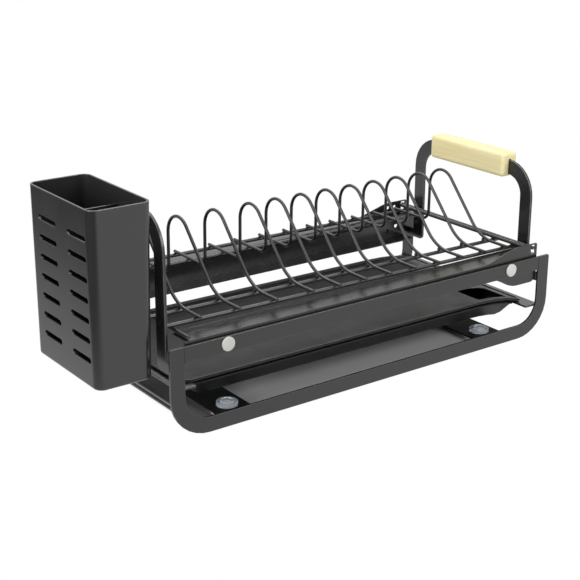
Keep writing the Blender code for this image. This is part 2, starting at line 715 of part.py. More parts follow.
def plate_rack(extension):
    """Cross wires, long wires and hoops, all sloping together."""
    on_top = LONG_WIRE + GAP
    middle = FRAME_DEPTH / 2
    inside = middle - BAR_THICKNESS - SHEET - RAIL_SHEET - 3 * GAP
    for name, x, end, lift in (
            ("end_wire", END_WIRE_X, inside, -on_top), ("stop_wire", STOP_WIRE_X, inside, on_top),
            ("lock_wire", EAR_SLOT_X, middle - BAR_THICKNESS - SHEET - GAP, on_top)):
        mesh = wire_mesh(name, [(0, -end, 0), (0, end, 0)], LONG_WIRE)
        add_wire(name, mesh, extension, rack_place(x, middle, lift))
    line = [(WIRE_START - EAR_SLOT_X, 0, 0), (WIRE_END - EAR_SLOT_X, 0, 0)]
    for index, y in enumerate(LONG_WIRE_Y, 1):
        mesh = wire_mesh("long_wire", line, LONG_WIRE)
        add_wire("long_wire_" + str(index), mesh, extension, rack_place(EAR_SLOT_X, y, 0))
    shared = hoop_mesh()
    lift = LONG_WIRE / 2 + GAP + HOOP_WIRE / 2
    for index, x in enumerate(hoop_places(), 1):
        add_wire("hoop_" + str(index).zfill(2), shared, extension, rack_place(x, 0, lift))


def bend_drop(x):
    """How far the drawer's low end has curved down at x, in straight steps along a cubic."""
    run = FRAME_LENGTH - RUNNER_INSET - RUNNER_WIDTH / 2 - TRAY_START
    drop = RUNNER_LEFT_TOP - RUNNER_RIGHT_TOP - run * sin(DRAWER_FALL)
    place = max(0.0, (x - BEND_START) / (TRAY_END - BEND_START) * BEND_STEPS)
    step = int(place)
    before, after = (drop * (count / BEND_STEPS) ** 3 for count in (step, step + 1))
    return before + (place - step) * (after - before)


def bend_down(mesh, start):
    """Cuts a mesh across at the steps and lowers it; start is the x of the mesh's own origin."""
    work = bmesh.new()
    work.from_mesh(mesh)
    for step in range(BEND_STEPS):
        x = BEND_START + (TRAY_END - BEND_START) * step / BEND_STEPS - start
        everything = work.verts[:] + work.edges[:] + work.faces[:]
        place = (x * MM, 0, 0)
        bmesh.ops.bisect_plane(work, geom=everything, dist=WELD * MM, plane_co=place, plane_no=(1, 0, 0))
    for corner in work.verts:
        corner.co.z -= bend_drop(start + corner.co.x / MM) * MM
    work.to_mesh(mesh)
    work.free()
    return mesh


def drip_tray(drawer):
    """The drawer's top: a shallow rimmed tray with a drain opening near its low end."""
    length = TRAY_END - TRAY_START
    width = TRAY_BACK - TRAY_FRONT
    rim = TRAY_RIM_WIDTH
    outline = rounded_box(0, 0, length, width, TRAY_CORNER)
    well = rounded_box(rim, rim, length - rim, width - rim, TRAY_CORNER - rim)
    drain_x = DRAIN_START - TRAY_START
    drain_y = DRAIN_FRONT - TRAY_FRONT
    drain = rounded_box(drain_x, drain_y, drain_x + DRAIN_LENGTH, drain_y + DRAIN_WIDTH, DRAIN_ROUND)
    total = TRAY_THICKNESS + TRAY_RIM_HEIGHT
    pieces = (("drip_tray", outline, total), ("tray_well", well, total), ("tray_drain", drain, 3 * total))
    meshes = [
        bend_down(flat_mesh(name, [loop], height, "XY"), TRAY_START) for name, loop, height in pieces]
    tray = add_part("drip_tray", meshes[0], drawer, (0, 0, 0), "coated_steel")
    hollow = helper("tray_well", meshes[1], drawer, (0, 0, 0))
    opening = helper("tray_drain", meshes[2], drawer, (0, 0, 0))
    for item, lift in ((tray, total / 2), (hollow, total / 2 + TRAY_THICKNESS), (opening, total / 2)):
        place_drawer_part(item, drawer, 0, 0, lift)
    combine(tray, hollow, "DIFFERENCE")
    combine(tray, opening, "DIFFERENCE")


def place_drawer_part(item, drawer, along, across, lift):
    """Lays a piece on the drawer's slope, counted from the lower left front corner of its top tray."""
    x = TRAY_START + along * cos(DRAWER_FALL) + lift * sin(DRAWER_FALL)
    z = RUNNER_LEFT_TOP + GAP - along * sin(DRAWER_FALL) + lift * cos(DRAWER_FALL)
    item.location = Vector((x, TRAY_FRONT + across, z)) * MM - drawer.location
    item.rotation_euler = (0, DRAWER_FALL, 0)


def ring(inset, level):
    """One level line of the pan, inset evenly from the flange's outline."""
    length = PAN_END - PAN_START - inset
    width = PAN_BACK - PAN_FRONT - inset
    corner = max(PAN_CORNER - inset / 2, 2 * PAN_BEVEL)
    outline = rounded_box(inset, inset, length, width, corner)
    return [Vector((place.x, place.y, level)) * MM for place in outline]


def water_pan(drawer):
    """The part below, a neck, a flange and a tapered trough: rings up the outside and down the inside."""
    low = -PAN_DEPTH
    under = -PAN_NECK - PAN_WALL
    inside = PAN_NECK_INSET + PAN_WALL
    rings = [
        (PAN_TAPER + PAN_BEVEL, low), (PAN_TAPER, low + PAN_BEVEL), (PAN_HULL_INSET, under), (0, under),
        (0, -PAN_NECK), (PAN_NECK_INSET, -PAN_NECK), (PAN_NECK_INSET, -GAP),
        (inside, -GAP), (inside, under), (PAN_HULL_INSET + 2 * PAN_WALL, under - PAN_WALL),
        (PAN_TAPER + PAN_WALL, low + PAN_BEVEL), (PAN_TAPER + PAN_BEVEL + PAN_WALL, low + PAN_WALL)]
    work = bmesh.new()
    levels = [[work.verts.new(place) for place in ring(inset, level)] for inset, level in rings]
    count = len(levels[0])
    for lower, upper in zip(levels, levels[1:]):
        for index in range(count):
            after = (index + 1) % count
            work.faces.new((lower[index], lower[after], upper[after], upper[index]))
    work.faces.new(levels[0])
    work.faces.new(levels[-1])
    bmesh.ops.recalc_face_normals(work, faces=work.faces)
    mesh = bpy.data.meshes.new("water_pan")
    work.to_mesh(mesh)
    work.free()
    bend_down(mesh, PAN_START)
    mesh.shade_smooth()
    mesh.set_sharp_from_angle(angle=radians(35))
    pan = add_part("water_pan", mesh, drawer, (0, 0, 0), "coated_steel")
    place_drawer_part(pan, drawer, PAN_START - TRAY_START, PAN_FRONT - TRAY_FRONT, 0)


def holder_shell():
    """The holder's outer skin, tapered, round at its corners and open on top, for Solidify."""
    work = bmesh.new()
    bmesh.ops.create_cube(work, size=1.0)
    bmesh.ops.scale(work, vec=Vector((HOLDER_WIDTH, HOLDER_LENGTH, HOLDER_HEIGHT)) * MM, verts=work.verts)
    for corner in work.verts:
        if corner.co.z < 0 and corner.co.x > 0:
            corner.co.x -= HOLDER_TAPER * MM
    uprights = [edge for edge in work.edges if edge.verts[0].co.z * edge.verts[1].co.z < 0]
    bmesh.ops.bevel(work, geom=uprights, offset=HOLDER_ROUND * MM, segments=5, profile=0.5, affect="EDGES")
    low = -HOLDER_HEIGHT * MM / 2
    rim_edges = [
        edge for edge in work.edges
        if all(abs(vertex.co.z - low) < WELD * MM for vertex in edge.verts) and len(edge.link_faces) == 2
        and any(abs(face.normal.z) < 0.5 for face in edge.link_faces)]
    bmesh.ops.bevel(
        work, geom=rim_edges, offset=HOLDER_BOTTOM_ROUND * MM, segments=2, profile=0.5, affect="EDGES")
    lid = [face for face in work.faces if face.normal.z > 0.9]
    bmesh.ops.delete(work, geom=lid, context="FACES_ONLY")
    mesh = bpy.data.meshes.new("cutlery_holder")
    work.to_mesh(mesh)
    work.free()
    mesh.shade_smooth()
    mesh.set_sharp_from_angle(angle=radians(35))
    return mesh


def slot_cutter(length, height, depth):
    """A bar with round ends, lying along Y, that cuts one drain slot through the outer wall."""
    half = length / 2
    loop = slot(-half, half, -height / 2, height / 2)
    return flat_mesh("slot_cutter", [loop], depth, "YZ")


def cutlery_holder(holder):
    centre = Vector((
        HOLDER_INNER_X - HOLDER_WIDTH / 2, HOLDER_FRONT + HOLDER_LENGTH / 2, HOLDER_TOP - HOLDER_HEIGHT / 2))
    shell = add_part("cutlery_holder", holder_shell(), holder, centre, "grey_plastic")
    wall = shell.modifiers.new("wall", "SOLIDIFY")
    wall.thickness = HOLDER_WALL * MM
    wall.offset = -1
    wall.use_even_offset = True
    cutter_mesh = slot_cutter(SLOT_LENGTH, SLOT_HEIGHT, 4 * HOLDER_WALL)
    outer_x = HOLDER_INNER_X - HOLDER_WIDTH
    for column, y in enumerate(SLOT_Y):
        for row in range(SLOT_ROWS):
            place = (outer_x, y, SLOT_TOP - row * SLOT_PITCH)
            cutter = helper("slot_%d_%d" % (column, row), cutter_mesh, holder, place)
            combine(shell, cutter, "DIFFERENCE")
    for index, y in enumerate(SLOT_Y):
        drain = box_mesh("holder_drain", (HOLDER_DRAIN_LENGTH, HOLDER_DRAIN_WIDTH, 4 * HOLDER_WALL))
        place = (centre.x, y, HOLDER_TOP - HOLDER_HEIGHT)
        combine(shell, helper("holder_drain_%d" % index, drain, holder, place), "DIFFERENCE")
    for side in ("front", "rear"):
        hook = helper("hook_" + side, hook_mesh(), holder, (0, HOOK_Y[side], 0))
        combine(shell, hook, "UNION")


def hook_mesh():
    """A hook moulded on the holder's inner wall, which hangs over the left handle's bar."""
    near = HOLDER_INNER_X - HOLDER_WALL / 2
    inside = LEFT_HANDLE_X + HANDLE_THICKNESS / 2 + GAP
    outside = inside + HOOK_SHEET
    under = LEFT_HANDLE_TOP + GAP
    above = under + HOOK_SHEET
    tip = LEFT_HANDLE_TOP - HANDLE_BAR
    outline = rounded([
        (near, under - HOOK_GUSSET, 0), (near + HOLDER_WALL, under - HOOK_GUSSET, 0),
        (near + HOOK_GUSSET, under, 0), (inside, under, 0), (inside, tip, 0),
        (outside, tip, 0), (outside, above, SMALL_ROUND), (near, above, 0)])
    return flat_mesh("hook", [outline], HOOK_WIDTH, "XZ")


def holder_divider(holder):
    """An inner wall across the holder that splits it in two."""
    play = HOLDER_WALL + GAP
    bottom = HOLDER_TOP - HOLDER_HEIGHT + play
    top = HOLDER_TOP - DIVIDER_DROP
    lean = HOLDER_TAPER / HOLDER_HEIGHT
    left = HOLDER_INNER_X - HOLDER_WIDTH + play
    right_low = HOLDER_INNER_X - play - lean * (HOLDER_TOP - bottom) - GAP
    right_high = HOLDER_INNER_X - play - lean * (HOLDER_TOP - top)
    outline = rounded([
        (left, bottom, HOLDER_BOTTOM_ROUND), (right_low, bottom, HOLDER_BOTTOM_ROUND),
        (right_high, top, 0), (left, top, 0)])
    mesh = flat_mesh("holder_divider", [outline], HOLDER_WALL, "XZ")
    add_part("holder_divider", mesh, holder, (0, HOLDER_FRONT + HOLDER_LENGTH / 2, 0), "grey_plastic")


def build():
    base_x = (HOLDER_INNER_X - HOLDER_WIDTH + FRAME_LENGTH) / 2
    root = add_empty("dish_drainer", location=(-base_x, -FRAME_DEPTH / 2, 0))
    base = add_empty("base", root)
    extension = add_empty("extension", root, (FRAME_LENGTH, FRAME_DEPTH / 2, RAIL_TOP))
    drawer = add_empty("drawer", root, (FRAME_LENGTH / 2, 0, RUNNER_RIGHT_TOP))
    holder = add_empty("holder", root, (HOLDER_INNER_X, FRAME_DEPTH / 2, LEFT_HANDLE_TOP))
    for side in ("front", "rear"):
        side_frame(side, base)
        track(side, base)
        slide_rail(side, extension)
    for end in ("left", "right"):
        runner(end, base)
        foot_bar(end, base)
    bottom_rod(base)
    suction_feet(base)
    caps(base)
    handle("left", LEFT_HANDLE_TOP, LEFT_HANDLE_X, BAR_THICKNESS + GAP, base)
    right_x = RAIL_END + GAP + HANDLE_THICKNESS / 2
    rail_face = BAR_THICKNESS + 2 * GAP + SHEET
    handle("right", RIGHT_HANDLE_TOP, right_x, rail_face, extension)
    grip(right_x, RIGHT_HANDLE_TOP, extension)
    plate_rack(extension)
    drip_tray(drawer)
    water_pan(drawer)
    cutlery_holder(holder)
    holder_divider(holder)


clear_scene()
part_collection = new_collection("dish_drainer_parts")
cutter_collection = new_collection("cutters")
make_materials()
build()
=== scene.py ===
"""An expandable dish drainer in a pale studio.

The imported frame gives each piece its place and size. This script finishes the pieces: coated bars and sheet
get their small edge rounds, the rack gets its round wires and weld spots, and the holder, grip, caps and feet
are modelled afresh.
Sizes are named in millimetres unless a comment says otherwise, and turned into metres where they are used.
"""
import json
from math import atan2, cos, pi, radians, sin, tan

import bpy
from mathutils import Matrix, Vector


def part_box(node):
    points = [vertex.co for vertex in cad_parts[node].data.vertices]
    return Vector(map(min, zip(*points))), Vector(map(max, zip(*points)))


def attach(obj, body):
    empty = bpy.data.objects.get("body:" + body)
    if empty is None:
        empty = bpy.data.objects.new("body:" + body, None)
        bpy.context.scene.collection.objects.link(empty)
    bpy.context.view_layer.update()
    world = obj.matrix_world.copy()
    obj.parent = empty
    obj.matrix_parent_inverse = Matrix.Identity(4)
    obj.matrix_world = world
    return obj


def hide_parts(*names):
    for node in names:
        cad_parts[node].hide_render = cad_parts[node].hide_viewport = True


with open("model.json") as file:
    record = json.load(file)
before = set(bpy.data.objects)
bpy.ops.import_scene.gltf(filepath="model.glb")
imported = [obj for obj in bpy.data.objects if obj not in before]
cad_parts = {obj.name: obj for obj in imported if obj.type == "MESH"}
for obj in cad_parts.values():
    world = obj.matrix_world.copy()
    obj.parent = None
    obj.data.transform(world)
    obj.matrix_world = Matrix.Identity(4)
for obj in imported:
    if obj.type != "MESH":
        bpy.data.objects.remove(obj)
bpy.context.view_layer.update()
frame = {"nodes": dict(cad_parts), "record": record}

MM = 0.001
BODIES = frame["record"]["behaviour"]["bodies"]
BODY_OF = {node: body for body, nodes in BODIES.items() for node in nodes}
SLOT_OF = {part["node"]: part["material_slot"] for part in frame["record"]["subparts"]}
SIDES = ("front", "rear")
ENDS = ("left", "right")
CROSS_WIRES = ("end_wire", "stop_wire", "lock_wire")

# Edge rounds that powder coating and deburring leave
BAR_EDGE = 0.6
SHEET_EDGE = 0.3

# How near points are one point, and how near two places count as the same
MERGE = 0.002
NEAR = 0.1

# When faces lie in one plane, when an edge is sharp enough to be rounded, and when it is shaded sharp
FLAT_ANGLE = radians(0.2)
EDGE_ANGLE = radians(32)
SMOOTH_ANGLE = radians(50)

# A face looks along an axis when its normal has at least this share of it
FACING = 0.9

# The table, in metres: its size, how far it lies below the feet, and where it starts and ends to dim, left of
# the bottom rod. The last value is the level that it dims to.
TABLE_SHEET = 16.0
TABLE_DROP = 0.0002
TABLE_NEAR = 0.08
TABLE_END = 0.4
TABLE_DIM = 0.05

# The drainer's shadow: where it fades out, in metres beyond the box that the frames and foot bars stand in,
# and the table's brightness at the holder's end, where a deeper shadow is painted into its colour
SHADOW_FULL = -0.012
SHADOW_GONE = 0.002
PAINTED_SHADOW_LEVEL = 0.3

# The even light that falls on everything from all around, and its colour
FILL_LIGHT = 0.15
WHITE = (1.0, 1.0, 1.0, 1.0)

# Most of what a noise texture gives lies between these two values
NOISE_LOW = 0.3
NOISE_HIGH = 0.7

# Softboxes, all turned to one point: name, place in metres, width, height, power in watts. One is overhead,
# one in front and a little to the right, one on the left, and a narrow one high behind, whose sheen draws
# the upper sides of the wires and edges.
LIT_POINT = (0.0, 0.0, 0.08)
SOFTBOXES = (
    ("overhead_softbox", (0.1, 0.1, 1.9), 2.2, 1.6, 18.0),
    ("front_softbox", (0.7, -2.0, 1.1), 1.6, 1.2, 26.0),
    ("back_softbox", (0.9, 1.3, 1.7), 1.2, 0.4, 12.0),
    ("left_softbox", (-2.2, -0.3, 0.9), 1.2, 1.2, 40.0))

# The camera: place in metres, directions, sensor and lens in millimetres, and shift in sensor widths
CAMERA_PLACE = (-0.73386, -1.01666, 0.51377)
CAMERA_FORWARD = (0.567936, 0.757201, -0.322637)
CAMERA_RIGHT = (0.801381, -0.598114, 0.006944)
CAMERA_SENSOR = 36.0
CAMERA_LENS = 80.35
CAMERA_SHIFT = (-0.03312, -0.02496)

# Seams of the side frames
BAR_WIDTH = 15.0
SEAM_WIDTH = 0.5
SEAM_DEPTH = 0.25

# Wires, and the hoops' bends
WIRE_SIDES = 20
WIRE_END_ROUND = 0.6
HOOP_TOE = 42.0
HOOP_HEEL = 59.5
HOOP_SLOPE = radians(48.0)
PEAK_ROUND = 19.5
FRONT_ROUND = 45.0
LEG_ROUND = 11.0
ARC_STEPS = 18
WIRE_SMOOTH_ANGLE = radians(60)

# Weld spots, which are ball shaped before they are flattened
SPOT_LENGTH = 1.9
SPOT_HEIGHT = 0.8
SPOT_SEGMENTS = 12
SPOT_RINGS = 8

# Cutlery holder
HOLDER_TAPER = 4.0
HOLDER_WALL = 2.2
HOLDER_ROUND = 9.0
HOLDER_ROUND_STEPS = 10
HOLDER_BOTTOM_ROUND = 3.0
HOLDER_BOTTOM_STEPS = 4
HOLDER_EDGE = 0.5
HOLDER_EDGE_ANGLE = radians(40)
HOLDER_LENGTH = 118.5
HOLDER_WIDTH = 60.0
SLOT_ROWS = 7
SLOT_LENGTH = 33.0
SLOT_HEIGHT = 5.0
SLOT_END_STEPS = 8
SLOT_END_SHORT = 0.05
CUT_DEPTH = 8.8
SLOT_PITCH = 18.2
SLOT_DROP = 26.5
SLOT_FRONT_INSET = 27.0
SLOT_BACK_INSET = 37.0
FLOOR_SLOT_LENGTH = 30.0
FLOOR_SLOT_WIDTH = 5.0
HOOK_FRONT_INSET = 51.5
HOOK_REAR_INSET = 19.0
HOOK_WIDTH = 16.0
HOOK_SHEET = 2.6
HOOK_GUSSET = 6.0
HOOK_DROP = 16.3
PLAY = 0.3

# The grip's block, and the growth bands and fibres of its wood: their width, and how far they are drawn out
# along it, as a scale
GRIP_ROUND = 4.6
GRIP_STEPS = 6
GRIP_PROFILE = 0.55
GRIP_EDGE_ANGLE = radians(50)
MORTISE_WIDTH = 3.6
MORTISE_HEIGHT = 16.6
BAND_WIDTH = 7.0
BAND_SCALE = (1.0, 0.07, 1.0)
FIBRE_WIDTH = 0.9
FIBRE_SCALE = (1.0, 0.03, 1.0)
FIBRE_HEIGHT = 0.03

# Caps and suction feet. Steps are pairs of an inset and a rise, and cup shares are pairs of a share of the
# cup's radius and one of its height.
CAP_EDGE = 0.7
CAP_EDGE_ANGLE = radians(50)
CAP_CROWN = 0.25
CROWN_STEPS = 3
CAP_THICKNESS = 1.6
SHANK_RADIUS = 3.0
HEAD_RADIUS = 10.5
HEAD_SIDE_SHARE = 0.5
HEAD_STEPS = (
    (0.5, 0.35), (1.4, 0.1), (0.5, -1.2), (1.0, 0.0), (0.4, 2.6), (1.5, 0.15), (0.5, -1.3), (1.1, 0.0),
    (0.4, 1.2))
STEM_RADIUS = 4.3
CUP_SHARES = ((0.5, 0.15), (0.85, 0.3), (0.98, 0.35), (1.0, 0.2))
HOLLOW_STEPS = ((1.4, 0.0), (5.0, 1.0), (5.0, 0.4))
FOOT_EDGE = 0.1
FOOT_EDGE_ANGLE = radians(28)
TURN_SIDES = 56


def deselect_all():
    if bpy.context.object and bpy.context.object.mode != "OBJECT":
        bpy.ops.object.mode_set(mode="OBJECT")
    bpy.ops.object.select_all(action="DESELECT")


def take(piece):
    """Makes one piece the only one selected, and active."""
    deselect_all()
    piece.select_set(True)
    bpy.context.view_layer.objects.active = piece


def edit(piece):
    """Opens a piece for editing with nothing in it selected."""
    take(piece)
    bpy.ops.object.mode_set(mode="EDIT")
    bpy.ops.mesh.select_all(action="DESELECT")


def close_edit():
    bpy.ops.object.mode_set(mode="OBJECT")


def select_faces(piece, wanted):
    """Selects the faces of the piece in edit mode for which wanted(face) is true."""
    bpy.ops.object.mode_set(mode="OBJECT")
    for item in (*piece.data.vertices, *piece.data.edges):
        item.select = False
    for face in piece.data.polygons:
        face.select = bool(wanted(face))
    bpy.ops.object.mode_set(mode="EDIT")
    bpy.ops.mesh.select_mode(type="FACE")


def select_edges(piece, wanted):
    """Selects the edges of the piece in edit mode for which wanted(one end, other end) is true."""
    bpy.ops.mesh.select_mode(type="EDGE")
    bpy.ops.object.mode_set(mode="OBJECT")
    corners = piece.data.vertices
    for item in (*corners, *piece.data.polygons):
        item.select = False
    for edge in piece.data.edges:
        edge.select = bool(wanted(corners[edge.vertices[0]].co, corners[edge.vertices[1]].co))
    bpy.ops.object.mode_set(mode="EDIT")


def settle(piece, name):
    """Names a new piece and puts its place into its mesh, with the object at the origin."""
    if bpy.context.object and bpy.context.object.mode != "OBJECT":
        close_edit()
    piece.data.transform(piece.matrix_world)
    piece.matrix_world = Matrix.Identity(4)
    piece.name = name
    piece.data.name = name
    return piece


def copied(piece, name):
    """A copy of a piece with its own mesh."""
    twin = bpy.data.objects.new(name, piece.data.copy())
    bpy.context.scene.collection.objects.link(twin)
    return twin


def apply_modifier(piece, kind, **settings):
    take(piece)
    change = piece.modifiers.new(kind.lower(), kind)
    for key, value in settings.items():
        setattr(change, key, value)
    bpy.ops.object.modifier_apply(modifier=change.name)


def round_edges(piece, width, steps=2, angle=EDGE_ANGLE):
    """A small round on every sharp edge, with normals that keep the flat faces flat. Where the piece has a
    second material, the rounds get it."""
    apply_modifier(
        piece, "BEVEL", width=width * MM, segments=steps, limit_method="ANGLE", angle_limit=angle,
        use_clamp_overlap=True, material=len(piece.data.materials) - 1)
    bpy.ops.object.shade_smooth_by_angle(angle=SMOOTH_ANGLE)
    apply_modifier(piece, "WEIGHTED_NORMAL", keep_sharp=True)


def dress(piece, material, body, slot, *nodes):
    """Gives a piece its material, and has it ride on its body in place of the CAD nodes. Its slot is not
    used.
    """
    if material:
        piece.data.materials.clear()
        piece.data.materials.append(material)
    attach(piece, body)
    if nodes:
        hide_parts(*nodes)
    return piece


def finished_copy(node, edge, *materials, join_flats=True):
    """A CAD node's own shape, merged, with its sharp edges rounded. A second material, a painted edge
    highlight, is for the edges.
    Flats are joined first, unless the rounds of a piece's corners would then meet in one point."""
    piece = copied(frame["nodes"][node], node + "_finished")
    edit(piece)
    bpy.ops.mesh.customdata_custom_splitnormals_clear()
    bpy.ops.mesh.select_all(action="SELECT")
    bpy.ops.mesh.remove_doubles(threshold=MERGE * MM)
    if join_flats:
        bpy.ops.mesh.dissolve_limited(angle_limit=FLAT_ANGLE)
    close_edit()
    piece.data.materials.clear()
    for material in materials:
        piece.data.materials.append(material)
    round_edges(piece, edge)
    return dress(piece, None, BODY_OF[node], SLOT_OF[node], node)


def size_of(node):
    """The low and the high corner of a CAD node's box."""
    low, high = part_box(node)
    return Vector(low), Vector(high)


def nodes_named(start):
    return [node for node in BODY_OF if node.startswith(start)]


def arc_at(corner, before, after, radius):
    """The points of a round at a corner between the directions to the points before and after it."""
    half = before.angle(after) / 2
    centre = corner + (before + after).normalized() * (radius / sin(half))
    reach = radius * cos(half) / sin(half)
    start = corner + before * reach - centre
    turn = start.angle_signed(corner + after * reach - centre)
    points = []
    for step in range(ARC_STEPS + 1):
        angle = atan2(start.y, start.x) - turn * step / ARC_STEPS
        points.append(centre + Vector((cos(angle), sin(angle))) * radius)
    return points


def wire_from_points(name, points, radius):
    """A round wire along points in metres, with flat ends."""
    curve = bpy.data.curves.new(name, "CURVE")
    curve.dimensions = "3D"
    curve.bevel_depth = radius
    curve.bevel_resolution = WIRE_SIDES // 2 - 2
    curve.use_fill_caps = True
    spline = curve.splines.new("POLY")
    spline.points.add(len(points) - 1)
    for point, place in zip(spline.points, points):
        point.co = (*place, 1.0)
    piece = bpy.data.objects.new(name, curve)
    bpy.context.scene.collection.objects.link(piece)
    take(piece)
    bpy.ops.object.convert(target="MESH")
    piece = bpy.context.object
    edit(piece)
    bpy.ops.mesh.select_all(action="SELECT")
    bpy.ops.mesh.remove_doubles(threshold=MERGE * MM)
    bpy.ops.mesh.normals_make_consistent(inside=False)
    close_edit()
    # A fault that is left: rounds were meant for the ends, but the curve closes them with triangles, which
    # this passes over. Only the first wire made, the bottom rod, is still selected all over, and all its
    # faces are inset.
    for face in piece.data.polygons:
        face.select = len(face.vertices) > 4
    bpy.ops.object.mode_set(mode="EDIT")
    bpy.ops.mesh.select_mode(type="FACE")
    bpy.ops.mesh.inset(thickness=WIRE_END_ROUND * MM / 2, depth=WIRE_END_ROUND * MM / 3, use_individual=True)
    bpy.ops.mesh.inset(thickness=WIRE_END_ROUND * MM, depth=WIRE_END_ROUND * MM / 6, use_individual=True)
    close_edit()
    bpy.ops.object.shade_smooth_by_angle(angle=WIRE_SMOOTH_ANGLE)
    return piece


def straight_wire(node, material):
    """A long or a cross wire along its node's box, a little short of both ends."""
    low, high = size_of(node)
    extent = high - low
    middle = (low + high) / 2
    radius = extent.x / 2
    start, end = Vector((middle.x, low.y, middle.z)), Vector((middle.x, high.y, middle.z))
    if extent.x > extent.y:
        radius = extent.y / 2
        start, end = Vector((low.x, middle.y, high.z - radius)), Vector((high.x, middle.y, low.z + radius))
    inset = (end - start).normalized() * WIRE_END_ROUND * MM / 2
    piece = wire_from_points(node + "_wire", [start + inset, end - inset], radius)
    dress(piece, material, BODY_OF[node], SLOT_OF[node], node)


def rack_fall():
    """The rack's slope, from a long wire's box."""
    low, high = size_of("long_wire_1")
    diameter = high.y - low.y
    return atan2(high.z - low.z - diameter, high.x - low.x)


def hoop_radius():
    """Half a hoop wire, from the box of a hoop, whose peak leans with the rack."""
    low, high = size_of("hoop_01")
    height = high.z - low.z
    return (high.x - low.x - height * sin(rack_fall())) / (2 - 2 * sin(rack_fall()))


def hoop_path(low, high):
    """A hoop in its own plane: a flat toe, a long slope, a narrow peak, an upright leg and a heel."""
    turn = low.y + HOOP_TOE * MM
    leg = high.y - HOOP_HEEL * MM
    peak = (leg - turn) * tan(HOOP_SLOPE)
    corners = [(turn, 0, FRONT_ROUND), (leg, peak, PEAK_ROUND), (leg, 0, LEG_ROUND)]
    ends = [Vector((low.y + WIRE_END_ROUND * MM / 2, 0)), Vector((high.y - WIRE_END_ROUND * MM / 2, 0))]
    line = [ends[0]] + [Vector(place[:2]) for place in corners] + [ends[1]]
    points = [ends[0]]
    for index, (_, _, bend) in enumerate(corners, 1):
        before = (line[index - 1] - line[index]).normalized()
        after = (line[index + 1] - line[index]).normalized()
        points += arc_at(line[index], before, after, bend * MM)
    points.append(ends[1])
    return points


def hoops(material):
    """One hoop, copied to each hoop node's place and leant with the rack."""
    radius = hoop_radius()
    path = hoop_path(*size_of("hoop_01"))
    first = wire_from_points("hoop_pattern", [(0, place.x, place.y) for place in path], radius)
    lean = Matrix.Rotation(rack_fall(), 4, "Y")
    for node in nodes_named("hoop_"):
        low, high = size_of(node)
        piece = copied(first, node + "_wire")
        piece.data.transform(Matrix.Translation((low.x + radius, 0, low.z + radius)) @ lean)
        dress(piece, material, BODY_OF[node], SLOT_OF[node], node)
    bpy.data.objects.remove(first, do_unlink=True)
    return path


def height_on(path, y):
    """The hoop's height above its toe at a place across the rack, on its lower stretches."""
    for before, after in zip(path, path[1:]):
        if min(before.x, after.x) <= y <= max(before.x, after.x):
            share = (y - before.x) / (after.x - before.x) if after.x != before.x else 0.0
            return before.y + share * (after.y - before.y)
    return 0.0


def weld_spots(path, material):
    """The small flattened spots where crossing wires are welded, one row for each long wire."""
    deselect_all()
    bpy.ops.mesh.primitive_uv_sphere_add(segments=SPOT_SEGMENTS, ring_count=SPOT_RINGS, radius=1.0)
    pattern = bpy.context.object
    slope = tan(rack_fall())
    spots = []
    for wire in nodes_named("long_wire_"):
        low, high = size_of(wire)
        y = (low.y + high.y) / 2
        diameter = high.y - low.y
        for node in BODY_OF:
            if not (node.startswith("hoop_") or node in CROSS_WIRES):
                continue
            other_low, other_high = size_of(node)
            radius = hoop_radius() if node.startswith("hoop_") else (other_high.x - other_low.x) / 2
            x = other_low.x + radius
            top = high.z - (x - low.x) * slope
            rise = height_on(path, y) if node.startswith("hoop_") else 0.0
            spot_z = top - diameter if node == "end_wire" else top + rise / 2
            spots.append((Vector((x, y, spot_z)), SPOT_HEIGHT * MM + rise / 2))
    meshes = []
    for place, height in spots:
        spot = copied(pattern, "spot")
        grow = Matrix.Diagonal((SPOT_LENGTH * MM, SPOT_LENGTH * MM, height, 1.0))
        spot.data.transform(Matrix.Translation(place) @ grow)
        meshes.append(spot)
    bpy.data.objects.remove(pattern, do_unlink=True)
    deselect_all()
    for spot in meshes:
        spot.select_set(True)
    bpy.context.view_layer.objects.active = meshes[0]
    bpy.ops.object.join()
    piece = bpy.context.object
    piece.name = "rack_weld_spots"
    bpy.ops.object.shade_smooth()
    dress(piece, material, "extension", "coated_steel")


def box_between(name, low, high):
    """A cube primitive added at its size and place."""
    deselect_all()
    centre = (Vector(low) + Vector(high)) / 2
    bpy.ops.mesh.primitive_cube_add(size=1.0, location=centre, scale=Vector(high) - Vector(low))
    return settle(bpy.context.object, name)


def weld_seams(piece, node):
    """The fine lines where a frame's top bar butts against its two bent ends."""
    low, high = size_of(node)
    half = Vector((SEAM_WIDTH / 2, SEAM_DEPTH, BAR_WIDTH / 2)) * MM
    cutters = []
    for x in (low.x + BAR_WIDTH * MM, high.x - BAR_WIDTH * MM):
        for y in (low.y, high.y):
            centre = Vector((x, y, high.z - half.z))
            cutters.append(box_between("seam", centre - half, centre + half))
    cut_away(piece, cutters)
    apply_modifier(piece, "WEIGHTED_NORMAL", keep_sharp=True)


def holder_box():
    """The holder's own corners: the CAD node's box without its hooks."""
    low, high = size_of("cutlery_holder")
    return low, Vector((low.x + HOLDER_WIDTH * MM, low.y + HOLDER_LENGTH * MM, high.z))


def slot_cutter(name, centre, length, height, depth):
    """A bar with round ends, lying along Y, which cuts one slot through the outer wall."""
    half = Vector((depth, length, height)) * MM / 2
    piece = box_between(name, centre - half, centre + half)
    edit(piece)
    select_edges(piece, lambda a, b: abs(a.x - b.x) > half.x)
    bpy.ops.mesh.bevel(
        offset=(height / 2 - SLOT_END_SHORT) * MM, segments=SLOT_END_STEPS, affect="EDGES",
        clamp_overlap=False)
    close_edit()
    return piece


